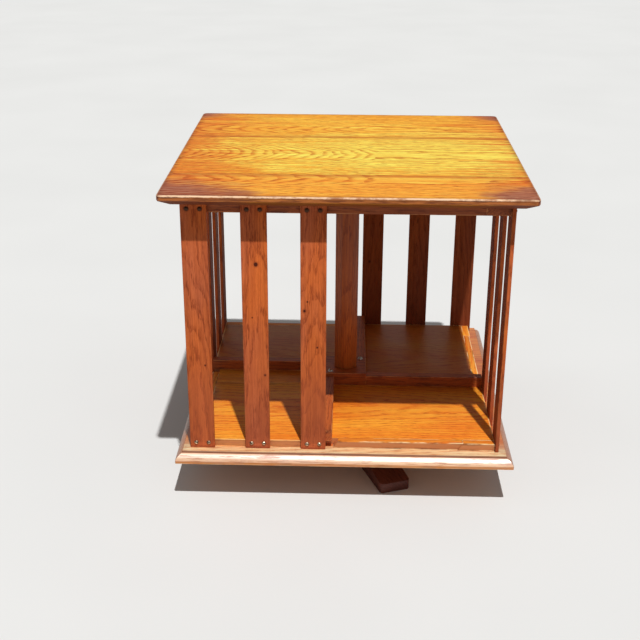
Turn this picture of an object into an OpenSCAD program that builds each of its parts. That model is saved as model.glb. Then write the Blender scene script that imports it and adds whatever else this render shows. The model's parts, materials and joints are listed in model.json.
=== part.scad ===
// Revolving tabletop bookcase in oak. A moulded top and a moulded base are held apart by nailed
// slats, which leave four book bays in a pinwheel round a centre post. The case turns on an iron
// pivot bolt over a crossed foot. Lengths are in millimetres, the table is the plane z = 0, and
// the case turns about the Z axis. Side 0 faces -Y, and sides 1, 2 and 3 follow it anticlockwise.

/* [Case] */
// Side of the square made by the outer faces of the slats
frame_w = 326; // [310:1:380]
// Clear height of a book bay
bay_h = 251; // [180:1:320]

/* [Top] */
// Thickness of the top board
top_t = 12; // [11:0.5:20]
// How far the top board stands out from the slats
top_overhang = 19.5; // [14:0.5:30]
// Radius of the top board's corners, seen from above
top_corner_r = 6; // [3:0.5:14]
// Height of the top board's upright edge
top_edge_h = 5; // [3:0.5:8]
// Width of the bevel under the top board's edge
top_bevel_w = 12; // [6:0.5:12.5]
// Radius of the worn arris round the top
top_arris_r = 1.5; // [0.5:0.1:2.5]
// Distance from the middle of the top to its front glue joint
front_joint = 101; // [80:1:108]
// Distance from the middle of the top to its back glue joint
back_joint = 57; // [40:1:90]

/* [Rails] */
// Thickness of the rails under the top
rail_t = 11; // [10:0.5:16]
// Width of the rails
rail_w = 24; // [20:1:36]

/* [Slats] */
// Width of a slat
slat_w = 26; // [20:1:30]
// Thickness of a slat
slat_t = 4; // [3:0.5:7]
// How far each side's last slat stays from the middle of the side
mid_gap = 19.8; // [14:0.2:23]
// Radius of the slats' long arrises
slat_arris_r = 0.8; // [0.3:0.1:1.2]

/* [Nails] */
// Diameter of a nail's shank
nail_d = 1.8; // [1.2:0.1:2.4]
// How far a nail reaches into the rail or the floor behind its slat
nail_bite = 12.5; // [8:0.5:16]
// Diameter of a nail's domed head
nail_head_d = 4.4; // [3.5:0.1:5.5]
// Height of a nail's domed head
nail_head_h = 1.3; // [0.8:0.1:2]
// Distance between the two nails of a pair
nail_pair_w = 13; // [8:0.5:14]
// Height of the lower nails above the ledge that the slats stand on
nail_rise = 5.8; // [3.5:0.1:6]
// Depth of the upper nails below the ends of the slats
nail_drop = 6.5; // [3.5:0.1:7]

/* [Floor and base] */
// Thickness of the floor board
floor_t = 8; // [7:0.5:10]
// Distance in front of the axis of the glue joint in the floor board
floor_joint = 21.5; // [21:0.5:30]
// Width of the edging strips that are let into the floor board
strip_w = 8; // [5:0.5:11]
// Open notch between a side's last slat and its edging strip, at the bottom
strip_gap = 7.8; // [3:0.1:12]
// How far the slanted ends of the strips lean over their height
strip_slant = 6; // [3:0.5:8]
// Length of the corner strip that follows each edging strip
corner_strip_len = 39; // [25:1:60]
// How far the corner strips stand out from the edging strips
corner_proud = 1; // [0:0.5:2]
// Thickness of the base board
base_t = 12; // [11:0.5:18]
// Width of the flat ledge outside the slats
ledge_w = 7.5; // [4:0.5:12]
// Height of the step from the ledge down to the bevel
ledge_step = 2.5; // [1:0.5:3]
// Width of the flat below the step
quirk_w = 1; // [0.5:0.5:2]
// Width and height of the bevel round the base board
base_bevel = 6.5; // [4:0.5:7]
// How far the bevel bulges out
bevel_crown = 0.7; // [0.3:0.1:1.2]
// Radius of the base board's corners, seen from above
base_corner_r = 1.5; // [0.5:0.5:5]
// Distance from the middle of the base board to each of its glue joints
base_joint = 60; // [50:1:80]

/* [Stops and post] */
// Width of a book stop
stop_w = 11; // [8:0.5:18]
// Height of a book stop
stop_h = 12; // [8:0.5:16]
// Side of the square block under the post
block_w = 48; // [46:1:60]
// Height of the block
block_h = 15; // [14:0.5:20]
// Radius of the arrises of the block and the stops
stop_arris_r = 0.8; // [0.3:0.1:1.5]
// Distance across the flats of the eight-sided post
post_w = 26; // [20:0.5:27]
// Diameter of the post's tenons
tenon_d = 14; // [10:0.5:16]
// Length of the post's lower tenon
low_tenon = 8; // [5:0.5:8.5]
// Length of the post's upper tenon
high_tenon = 6; // [4:0.5:8]

/* [Foot] */
// Length of each foot bar
foot_span = 322; // [260:1:350]
// Width of a foot bar
foot_w = 34; // [28:1:44]
// Height of a foot bar at its toe
toe_h = 11; // [8:0.5:14]
// Height of a foot bar at the cross
root_h = 24; // [20:0.5:30]
// Length of the level part of a foot bar on each side of the axis
root_len = 60; // [58:1:80]
// Radius of the toes' upright corners
toe_r = 4; // [2:0.5:8]
// Angle of the foot against the case
foot_angle = 20.4; // [0:0.2:45]
// Diameter of the hub block
hub_d = 110; // [104:1:116]
// Height of the hub block
hub_h = 14; // [12:0.5:24]

/* [Pivot] */
// Diameter of the pivot bolt
bolt_d = 8; // [6:0.5:8]
// Side of the two square pivot plates
plate_w = 70; // [66:1:72]
// Thickness of each pivot plate
plate_t = 2.5; // [2:0.5:4]
// Distance from the axis to the plate screws, along X and along Y
plate_screw_at = 26; // [24:0.5:28]
// Diameter of the thrust washer
thrust_d = 50; // [44:1:56]
// Thickness of the thrust washer
thrust_t = 2; // [1.5:0.5:4]
// Outer diameter of the bush's barrel
bush_d = 12; // [11:0.5:14]
// Diameter of the bush's flange
bush_flange_d = 18; // [16:0.5:20]
// Thickness of the bush's flange
bush_flange_t = 1.5; // [1:0.5:2]
// Diameter of the retaining washer
washer_d = 18; // [16:0.5:20]
// Thickness of the retaining washer
washer_t = 1.5; // [1:0.5:2]
// Distance across the flats of the nut and of the bolt's head
hex_w = 13; // [12:0.5:14]
// Height of the nut
nut_h = 6.5; // [5:0.5:7]
// Height of the bolt's head
bolt_head_h = 5.3; // [4:0.1:6]
// How far the bolt's end stands out of the nut
bolt_proud = 1; // [0.5:0.1:1.5]
// Depth of the recess for the bolt's head in the foot
head_recess = 6.5; // [6.5:0.5:8]
// Diameter of the recesses for the nut and for the bolt's head
recess_d = 24; // [22:0.5:26]

/* [Screws] */
// Diameter of a wood screw's shank
screw_d = 3.5; // [2.5:0.1:4]
// Diameter of a countersunk head
screw_head_d = 7; // [6:0.1:8]
// Height of a countersunk head
screw_head_h = 2; // [1.5:0.1:2.4]
// How far the top screws reach into the top board
top_screw_bite = 6; // [4:0.5:8]
// Distance from a rail's free end to its last screw
top_screw_end = 18.5; // [12:0.5:24]
// How far the base screws reach into the floor
base_screw_bite = 5; // [4:0.5:6]
// Distance of the base screws from the middle, along X
base_screw_x = 120; // [60:1:140]
// Distance of the base screws from the middle, along Y
base_screw_y = 125; // [100:1:135]
// How far the plate screws reach into the wood behind their plate
plate_screw_bite = 7.5; // [5:0.5:9]
// How far the hub screws reach into the hub block
hub_screw_bite = 8; // [6:0.5:11]
// Depth of the recesses for the hub screws
hub_screw_recess = 10; // [8:0.5:14]
// Distance of the hub screws from the axis
hub_screw_at = 42; // [38:1:46]
// How far the block's screws reach into the floor
block_screw_bite = 5; // [3:0.5:6]
// Distance of the block's screws from the edges of the block
block_screw_inset = 6.5; // [5:0.5:7]
// Diameter of the block screws' round heads
round_head_d = 6; // [5:0.1:7]
// Height of the block screws' round heads
round_head_h = 2.6; // [2:0.1:3.5]

/* [Fits] */
// Gap all round the bolt where the bush turns on it
running_gap = 0.05; // [0.02:0.01:0.1]
// Gap all round a nail, screw, tenon or bush that sits in its hole
seat_gap = 0.05; // [0.02:0.01:0.2]
// Gap all round the bolt where it only passes through
pass_gap = 0.5; // [0.3:0.1:1]
// Gap between the retaining washer and the bush's flange
lift_gap = 0.3; // [0.1:0.1:0.5]
// Gap between the end of a fastener or tenon and the bottom of its hole
end_gap = 0.5; // [0.2:0.1:1]

/* [Hidden] */
$fn = 64;
// How far a cutting shape runs past the face that it cuts
cut = 1;
// Share of a shank's diameter that is left at its tip
tip_share = 0.1;
SIDES = ["front", "right", "back", "left"];
SLATS_PER_SIDE = 3;
OAK = [0.62, 0.33, 0.12];
OAK_DARK = [0.40, 0.17, 0.08];
OAK_GOLD = [0.72, 0.41, 0.14];
IRON = [0.30, 0.29, 0.28];
BRASS = [0.72, 0.60, 0.36];
NAIL = [0.66, 0.60, 0.50];

frame_half = frame_w / 2;
board_half = frame_half - slat_t;
top_half = frame_half + top_overhang;
ledge_half = frame_half + ledge_w;
base_half = ledge_half + quirk_w + base_bevel;
slat_pitch = (frame_half - mid_gap - slat_w) / (SLATS_PER_SIDE - 1);
block_half = block_w / 2;
block_screw_at = block_half - block_screw_inset;

// The stack of levels from the table up
lower_plate_z = root_h + hub_h;
thrust_z = lower_plate_z + plate_t;
upper_plate_z = thrust_z + thrust_t;
base_z = upper_plate_z + plate_t;
ledge_z = base_z + base_t;
floor_z = ledge_z + floor_t;
block_top_z = floor_z + block_h;
rail_z = floor_z + bay_h;
top_z = rail_z + rail_t;
lap_z = root_h / 2;
washer_z = ledge_z + bush_flange_t + lift_gap;
nut_z = washer_z + washer_t;
bolt_end_z = nut_z + nut_h + bolt_proud;

top_screw_len = rail_t + top_screw_bite;
base_screw_len = base_t + base_screw_bite;
plate_screw_len = plate_t + plate_screw_bite;
hub_screw_len = root_h - hub_screw_recess + hub_screw_bite;
block_screw_len = block_h + block_screw_bite;
nail_len = slat_t + nail_bite;

strip_x = strip_gap - mid_gap;
corner_strip_x = board_half - corner_strip_len;
slat_len = top_z - ledge_z;
low_nail_z = ledge_z + nail_rise;
high_nail_z = top_z - nail_drop;

// ---- shared shapes ----

// A rectangle with four rounded corners
module soft_rect(w, h, r) {
    translate([r, 0]) square([w - 2 * r, h]);
    translate([0, r]) square([w, h - 2 * r]);
    for (x = [r, w - r], y = [r, h - r]) translate([x, y]) circle(r);
}

// A bar along X, flat underneath and rounded along its two upper arrises
module soft_bar(len, w, h, r) {
    rotate([90, 0, 90]) linear_extrude(len) {
        square([w, h - r]);
        translate([r, 0]) square([w - 2 * r, h]);
        for (x = [r, w - r]) translate([x, h - r]) circle(r);
    }
}

// A square board with round corners. The child is the section of its outer margin, with x
// running outwards over the corner radius and y running up from the underside.
module round_cornered_board(half, corner_r, t) {
    flat = half - corner_r;
    translate([-flat, -flat, 0]) cube([2 * flat, 2 * flat, t]);
    for (a = [0:3]) rotate(90 * a) {
        translate([flat, flat, 0]) rotate([90, 0, 0]) linear_extrude(2 * flat) children();
        translate([flat, flat, 0]) rotate_extrude(angle = 90) children();
    }
}

// A square board with the same moulding on all four sides, mitred at the corners. The child is
// the section of the whole board.
module mitred_board(half) {
    intersection_for (a = [0, 90]) rotate(a)
        translate([0, half, 0]) rotate([90, 0, 0]) linear_extrude(2 * half) children();
}

// Keeps what lies between two distances along Y, which is one plank of a glued board
module plank(from_y, to_y, half) {
    intersection() {
        children();
        translate([-half - cut, from_y, 0]) cube([2 * half + 2 * cut, to_y - from_y, top_z + top_t + cut]);
    }
}

// A hole along Z that runs past both faces of a piece
module through_hole(z, h, r) {
    translate([0, 0, z - cut]) cylinder(h = h + 2 * cut, r = r);
}

// A quarter of a disc, for a rounded arris
module quarter(r) {
    intersection() {
        circle(r);
        square(r);
    }
}

module hexagon(h) {
    cylinder(h = h, r = hex_w / 2 / cos(30), $fn = 6);
}

// ---- nails and screws, all along +Z with the underside of a head at z = 0 ----

module shank_outline(d, len) {
    polygon([[0, 0], [d / 2, 0], [d / 2, len - d], [tip_share * d, len], [0, len]]);
}

module dome_outline(d, h) {
    r = (d * d / 4 + h * h) / (2 * h);
    intersection() {
        translate([0, r - h]) circle(r);
        translate([0, -h]) square([d / 2, h]);
    }
}

module domed_fastener(d, len, head_d, head_h) {
    rotate_extrude() {
        shank_outline(d, len);
        dome_outline(head_d, head_h);
    }
}

// The flat of this head is at z = 0
module countersunk_screw(len) {
    rotate_extrude() {
        shank_outline(screw_d, len);
        polygon([[0, 0], [screw_head_d / 2, 0], [screw_d / 2, screw_head_h], [0, screw_head_h]]);
    }
}

module shank_hole(d, len) {
    translate([0, 0, -cut]) cylinder(h = len + end_gap + cut, r = d / 2 + seat_gap);
}

module countersunk_hole(len) {
    head_r = screw_head_d / 2 + seat_gap;
    shank_hole(screw_d, len);
    rotate_extrude() polygon([
        [0, -cut], [head_r, -cut], [head_r, 0], [screw_d / 2 + seat_gap, screw_head_h], [0, screw_head_h]
    ]);
}

// ---- top ----

// The upright edge with its worn upper arris
module top_edge_section() {
    r = top_corner_r;
    a = top_arris_r;
    polygon([[0, 0], [r, 0], [r, top_t - a], [r - a, top_t], [0, top_t]]);
    translate([r - a, top_t - a]) quarter(a);
}

// The whole board with the bevels under its edges
module top_bevel_section() {
    flat = top_half - top_bevel_w;
    rise = top_t - top_edge_h;
    polygon([
        [-flat, 0], [flat, 0], [top_half, rise], [top_half, top_t], [-top_half, top_t], [-top_half, rise]
    ]);
}

module top_plank(from_y, to_y) {
    color(OAK) difference() {
        plank(from_y, to_y, top_half) translate([0, 0, top_z]) intersection() {
            round_cornered_board(top_half, top_corner_r, top_t) top_edge_section();
            mitred_board(top_half) top_bevel_section();
        }
        top_screw_places() countersunk_hole(top_screw_len);
        translate([0, 0, top_z]) shank_hole(tenon_d, high_tenon);
    }
}

module top_board_front() {
    top_plank(-top_half, -front_joint);
}

module top_board_middle() {
    top_plank(-front_joint, back_joint);
}

module top_board_back() {
    top_plank(back_joint, top_half);
}

// The rails run round in a pinwheel: each butts against the side of the next
module top_rail(side) {
    color(OAK_DARK) difference() {
        rotate(90 * side) translate([-board_half, -board_half, rail_z])
            cube([2 * board_half - rail_w, rail_w, rail_t]);
        top_screw_places() countersunk_hole(top_screw_len);
        nail_places(side, high_nail_z) shank_hole(nail_d, nail_len);
    }
}

// Two to a rail: between its first two slats and near its free end
module top_screw_places() {
    for (a = [0:3], x = [slat_x(0) + (slat_w + slat_pitch) / 2, board_half - rail_w - top_screw_end])
        rotate(90 * a) translate([x, -board_half + rail_w / 2, rail_z]) children();
}

module top_screws() {
    color(IRON) top_screw_places() countersunk_screw(top_screw_len);
}

// ---- slats ----

function slat_x(k) = -frame_half + k * slat_pitch;

module slat(side, k) {
    color(OAK_DARK) difference() {
        rotate(90 * side) translate([slat_x(k), -frame_half, ledge_z])
            linear_extrude(slat_len) soft_rect(slat_w, slat_t, slat_arris_r);
        for (z = [low_nail_z, high_nail_z]) nail_places(side, z) shank_hole(nail_d, nail_len);
    }
}

// Puts its child at each nail of one row, pointing into the case
module nail_places(side, z) {
    for (k = [0:SLATS_PER_SIDE - 1], x = [-1, 1]) rotate(90 * side)
        translate([slat_x(k) + slat_w / 2 + x * nail_pair_w / 2, -frame_half, z])
            rotate([-90, 0, 0]) children();
}

module slat_nails(side) {
    color(NAIL) for (z = [low_nail_z, high_nail_z])
        nail_places(side, z) domed_fastener(nail_d, nail_len, nail_head_d, nail_head_h);
}

// ---- floor, edging strips and base ----

module floor_plank(from_y, to_y) {
    color(OAK_GOLD) difference() {
        translate([-board_half, from_y, ledge_z]) cube([2 * board_half, to_y - from_y, floor_t]);
        through_hole(ledge_z, floor_t, recess_d / 2);
        for (side = [0:3]) {
            strip_rebate(side);
            nail_places(side, low_nail_z) shank_hole(nail_d, nail_len);
        }
        base_screw_places() countersunk_hole(base_screw_len);
        block_screw_places() shank_hole(screw_d, block_screw_len);
    }
}

module floor_board_front() {
    floor_plank(-board_half, -floor_joint);
}

module floor_board_back() {
    floor_plank(-floor_joint, board_half);
}

// The open half of each floor edge is cut back from the last slat to the corner
module strip_rebate(side) {
    rotate(90 * side) translate([-mid_gap, -board_half - cut, ledge_z - cut])
        cube([board_half + mid_gap + cut, strip_w + cut, floor_t + 2 * cut]);
}

// Lies in the rebate, with both ends cut on a slant
module edge_strip(side) {
    color(OAK_GOLD) strip_place(side) linear_extrude(strip_w) polygon([
        [strip_x, 0], [corner_strip_x, 0], [corner_strip_x + strip_slant, floor_t],
        [strip_x + strip_slant, floor_t]
    ]);
}

// Fills the rest of the rebate. The outer nail of the next side's first slat goes into its end.
module corner_strip(side) {
    color(OAK_GOLD) difference() {
        strip_place(side) linear_extrude(strip_w + corner_proud) polygon([
            [corner_strip_x, 0], [board_half, 0], [board_half, floor_t],
            [corner_strip_x + strip_slant, floor_t]
        ]);
        nail_places(side + 1, low_nail_z) shank_hole(nail_d, nail_len);
    }
}

// Stands a strip's outline up against the back of its rebate, to be drawn out towards the front
module strip_place(side) {
    rotate(90 * side) translate([0, strip_w - board_half, ledge_z]) rotate([90, 0, 0]) children();
}

// The whole base board: upright edge, crowned bevel, narrow flat, step and ledge
module base_section() {
    shoulder = base_t - ledge_step;
    edge_h = shoulder - base_bevel;
    bevel_x = base_half - base_bevel;
    crown_r = pow(base_bevel, 2) / (4 * bevel_crown) + bevel_crown / 2;
    crown_back = base_bevel / 2 + (crown_r - bevel_crown) * cos(45);
    translate([-ledge_half, 0]) square([2 * ledge_half, base_t]);
    translate([-bevel_x, 0]) square([2 * bevel_x, shoulder]);
    translate([-base_half, 0]) square([2 * base_half, edge_h]);
    for (side = [0, 1]) mirror([side, 0]) intersection() {
        translate([bevel_x, edge_h]) square(base_bevel);
        translate([base_half - crown_back, shoulder - crown_back]) circle(crown_r);
    }
}

module base_plank(from_y, to_y) {
    color(OAK_GOLD) difference() {
        plank(from_y, to_y, base_half) translate([0, 0, base_z]) intersection() {
            mitred_board(base_half) base_section();
            linear_extrude(base_t) translate([-base_half, -base_half])
                soft_rect(2 * base_half, 2 * base_half, base_corner_r);
        }
        base_screw_places() countersunk_hole(base_screw_len);
        through_hole(base_z, base_t, bush_d / 2 + seat_gap);
        plate_screw_places(base_z) shank_hole(screw_d, plate_screw_bite);
    }
}

module base_board_front() {
    base_plank(-base_half, -base_joint);
}

module base_board_middle() {
    base_plank(-base_joint, base_joint);
}

module base_board_back() {
    base_plank(base_joint, base_half);
}

module base_screw_places() {
    for (x = [-1, 1], y = [-1, 1]) translate([x * base_screw_x, y * base_screw_y, base_z]) children();
}

module base_screws() {
    color(IRON) base_screw_places() countersunk_screw(base_screw_len);
}

// ---- book stops, block and post ----

// Runs from the block to the slats' inner faces, and parts two neighbouring bays
module book_stop(side) {
    color(OAK_DARK) rotate(90 * side) translate([block_half, -block_half, floor_z])
        soft_bar(board_half - block_half, stop_w, stop_h, stop_arris_r);
}

module post_block() {
    color(OAK_DARK) difference() {
        translate([0, 0, floor_z]) intersection_for (a = [0, 90]) rotate(a)
            translate([-block_half, -block_half, 0]) soft_bar(block_w, block_w, block_h, stop_arris_r);
        translate([0, 0, floor_z - cut])
            cylinder(h = bolt_end_z + end_gap - floor_z + cut, r = recess_d / 2);
        translate([0, 0, block_top_z]) mirror([0, 0, 1]) shank_hole(tenon_d, low_tenon);
        block_screw_places() shank_hole(screw_d, block_screw_len);
    }
}

module centre_post() {
    color(OAK_DARK) {
        translate([0, 0, block_top_z]) rotate(22.5)
            cylinder(h = top_z - block_top_z, r = post_w / 2 / cos(22.5), $fn = 8);
        translate([0, 0, block_top_z - low_tenon])
            cylinder(h = low_tenon + top_z - block_top_z + high_tenon, d = tenon_d);
    }
}

module block_screw_places() {
    for (a = [0, 180]) rotate(a) translate([block_screw_at, block_screw_at, block_top_z])
        mirror([0, 0, 1]) children();
}

module post_block_screws() {
    color(IRON) block_screw_places()
        domed_fastener(screw_d, block_screw_len, round_head_d, round_head_h);
}

// ---- pivot ----

// A square plate whose screws go in from its face at z = 0 and point along +Z
module pivot_plate() {
    color(IRON) difference() {
        translate([-plate_w / 2, -plate_w / 2, 0]) cube([plate_w, plate_w, plate_t]);
        through_hole(0, plate_t, bolt_d / 2 + pass_gap);
        plate_screw_places(0) countersunk_hole(plate_screw_len);
    }
}

module plate_screw_places(z) {
    for (x = [-1, 1], y = [-1, 1]) translate([x * plate_screw_at, y * plate_screw_at, z]) children();
}

module upper_pivot_plate() {
    translate([0, 0, upper_plate_z]) pivot_plate();
}

module lower_pivot_plate() {
    translate([0, 0, thrust_z]) mirror([0, 0, 1]) pivot_plate();
}

module upper_plate_screws() {
    color(IRON) plate_screw_places(upper_plate_z) countersunk_screw(plate_screw_len);
}

module lower_plate_screws() {
    color(IRON) translate([0, 0, thrust_z]) mirror([0, 0, 1])
        plate_screw_places(0) countersunk_screw(plate_screw_len);
}

module thrust_washer() {
    color(BRASS) difference() {
        translate([0, 0, thrust_z]) cylinder(h = thrust_t, d = thrust_d);
        through_hole(thrust_z, thrust_t, bolt_d / 2 + pass_gap);
    }
}

module pivot_bush() {
    color(BRASS) difference() {
        union() {
            translate([0, 0, base_z]) cylinder(h = base_t, d = bush_d);
            translate([0, 0, ledge_z]) cylinder(h = bush_flange_t, d = bush_flange_d);
        }
        through_hole(base_z, base_t + bush_flange_t, bolt_d / 2 + running_gap);
    }
}

module pivot_bolt() {
    color(IRON) {
        translate([0, 0, head_recess]) cylinder(h = bolt_end_z - head_recess, d = bolt_d);
        translate([0, 0, head_recess - bolt_head_h]) hexagon(bolt_head_h);
    }
}

module retaining_washer() {
    color(IRON) difference() {
        translate([0, 0, washer_z]) cylinder(h = washer_t, d = washer_d);
        through_hole(washer_z, washer_t, bolt_d / 2 + seat_gap);
    }
}

module retaining_nut() {
    color(IRON) difference() {
        translate([0, 0, nut_z]) hexagon(nut_h);
        through_hole(nut_z, nut_h, bolt_d / 2 + seat_gap);
    }
}

// ---- foot ----

// One bar of the cross along X: level under the hub, falling to a thin toe at each end
module foot_bar_blank() {
    half = foot_span / 2;
    intersection() {
        translate([0, foot_w / 2, 0]) rotate([90, 0, 0]) linear_extrude(foot_w) polygon([
            [-half, 0], [half, 0], [half, toe_h], [root_len, root_h], [-root_len, root_h], [-half, toe_h]
        ]);
        linear_extrude(root_h) translate([-half, -foot_w / 2]) soft_rect(foot_span, foot_w, toe_r);
    }
}

// The square notch of the half lap, up from a level
module lap_notch(z) {
    translate([-foot_w / 2, -foot_w / 2 - cut, z]) cube([foot_w, foot_w + 2 * cut, lap_z + cut]);
}

module foot_holes() {
    through_hole(0, root_h + hub_h, bolt_d / 2 + pass_gap);
    hub_screw_places() {
        countersunk_hole(hub_screw_len);
        translate([0, 0, -hub_screw_recess - cut])
            cylinder(h = hub_screw_recess + cut, r = screw_head_d / 2 + seat_gap);
    }
}

module lower_foot_bar() {
    color(OAK_DARK) difference() {
        rotate(foot_angle) foot_bar_blank();
        rotate(foot_angle) lap_notch(lap_z);
        translate([0, 0, -cut]) cylinder(h = head_recess + cut, r = recess_d / 2);
        foot_holes();
    }
}

module upper_foot_bar() {
    color(OAK_DARK) difference() {
        rotate(foot_angle + 90) foot_bar_blank();
        rotate(foot_angle + 90) lap_notch(-cut);
        foot_holes();
    }
}

module hub_block() {
    color(OAK_DARK) difference() {
        translate([0, 0, root_h]) cylinder(h = hub_h, d = hub_d);
        foot_holes();
        translate([0, 0, lower_plate_z]) mirror([0, 0, 1])
            plate_screw_places(0) shank_hole(screw_d, plate_screw_bite);
    }
}

module hub_screw_places() {
    for (a = [0:3]) rotate(foot_angle + 90 * a)
        translate([hub_screw_at, 0, hub_screw_recess]) children();
}

module hub_screws() {
    color(IRON) hub_screw_places() countersunk_screw(hub_screw_len);
}

// ---- what is drawn ----

top_board_front();
top_board_middle();
top_board_back();
for (s = [0:3]) {
    top_rail(s);
    slat_nails(s);
    edge_strip(s);
    corner_strip(s);
    book_stop(s);
    for (k = [1:SLATS_PER_SIDE])
        slat(s, k - 1);
}
floor_board_front();
floor_board_back();
base_board_front();
base_board_middle();
base_board_back();
post_block();
centre_post();
post_block_screws();
top_screws();
base_screws();
upper_pivot_plate();
upper_plate_screws();
pivot_bush();
lower_foot_bar();
upper_foot_bar();
hub_block();
hub_screws();
lower_pivot_plate();
lower_plate_screws();
thrust_washer();
pivot_bolt();
retaining_washer();
retaining_nut();
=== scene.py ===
import json
import math
import bpy
from mathutils import Matrix, Vector

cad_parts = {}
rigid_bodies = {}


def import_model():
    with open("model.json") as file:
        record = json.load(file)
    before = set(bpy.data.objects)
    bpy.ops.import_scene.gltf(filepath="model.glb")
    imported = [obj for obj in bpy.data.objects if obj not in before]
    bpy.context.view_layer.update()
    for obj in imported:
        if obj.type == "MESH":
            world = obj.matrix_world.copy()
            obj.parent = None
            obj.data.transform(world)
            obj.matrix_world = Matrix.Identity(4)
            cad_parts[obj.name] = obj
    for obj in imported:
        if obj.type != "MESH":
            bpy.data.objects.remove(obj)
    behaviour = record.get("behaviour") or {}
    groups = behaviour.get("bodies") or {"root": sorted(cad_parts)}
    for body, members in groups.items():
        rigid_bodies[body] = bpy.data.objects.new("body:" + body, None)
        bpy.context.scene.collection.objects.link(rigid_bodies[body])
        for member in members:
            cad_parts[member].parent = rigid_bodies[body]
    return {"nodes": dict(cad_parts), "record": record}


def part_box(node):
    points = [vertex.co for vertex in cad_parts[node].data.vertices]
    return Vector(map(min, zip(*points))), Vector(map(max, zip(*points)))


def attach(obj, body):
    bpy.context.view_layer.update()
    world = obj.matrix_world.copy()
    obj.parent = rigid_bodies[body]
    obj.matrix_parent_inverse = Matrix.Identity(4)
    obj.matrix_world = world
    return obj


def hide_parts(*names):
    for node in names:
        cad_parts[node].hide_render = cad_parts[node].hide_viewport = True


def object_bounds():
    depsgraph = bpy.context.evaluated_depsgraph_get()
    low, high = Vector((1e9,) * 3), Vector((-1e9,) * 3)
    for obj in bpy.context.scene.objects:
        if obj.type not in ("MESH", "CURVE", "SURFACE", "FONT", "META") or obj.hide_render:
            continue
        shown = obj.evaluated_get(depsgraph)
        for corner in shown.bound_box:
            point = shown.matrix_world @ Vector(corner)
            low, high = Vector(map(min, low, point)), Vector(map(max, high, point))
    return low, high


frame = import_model()
cadLow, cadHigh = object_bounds()
print("bookcase: frame loaded,", len(frame["nodes"]), "nodes")

record = frame["record"]
bodyOf = {node: body for body, nodes in record["behaviour"]["bodies"].items() for node in nodes}
shown = {}  # the modelled pieces that stand for a CAD node, by the node's name
sides = ["front", "right", "back", "left"]
axisX, axisY, axisZ = 0, 1, 2
metre = 1000.0  # patterns are worked out in millimetres


# a colour given as screen values from 0 to 255, brought to linear light
def tone(red, green, blue):
    linear = [c / 12.92 if c <= 0.04045 else ((c + 0.055) / 1.055) ** 2.4
              for c in (red / 255, green / 255, blue / 255)]
    return (*linear, 1.0)


# Sums on a socket read as plain arithmetic; each one adds its Math node
class Value:
    def __init__(self, recipe, socket):
        self.recipe = recipe
        self.socket = socket

    def __add__(self, other):
        return self.recipe.sum("ADD", self, other)

    def __sub__(self, other):
        return self.recipe.sum("SUBTRACT", self, other)

    def __rsub__(self, other):
        return self.recipe.sum("SUBTRACT", other, self)

    def __mul__(self, other):
        return self.recipe.sum("MULTIPLY", self, other)

    def __truediv__(self, other):
        return self.recipe.sum("DIVIDE", self, other)

    def __abs__(self):
        return self.recipe.sum("ABSOLUTE", self)

    __radd__ = __add__
    __rmul__ = __mul__

    def root(self):
        return self.recipe.sum("SQRT", self)

    def fraction(self):
        return self.recipe.sum("FRACT", self)

    def least(self, other):
        return self.recipe.sum("MINIMUM", self, other)

    def most(self, other):
        return self.recipe.sum("MAXIMUM", self, other)

    # 0 at start, 1 at end, smooth between; start may be the larger of the two
    def step(self, start, end):
        if start > end:
            return 1 - self.step(end, start)
        settings = {"interpolation_type": "SMOOTHSTEP"}
        return self.recipe.node("ShaderNodeMapRange", settings, {0: self, 1: start, 2: end})


mixShare, mixFirst, mixSecond, mixColour = 0, 6, 7, 2  # a colour Mix node's sockets
seedShift = {"first": 3.7, "perAxis": 2.3, "wrap": 97}  # moves each seed's noise to a place of its own


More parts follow.
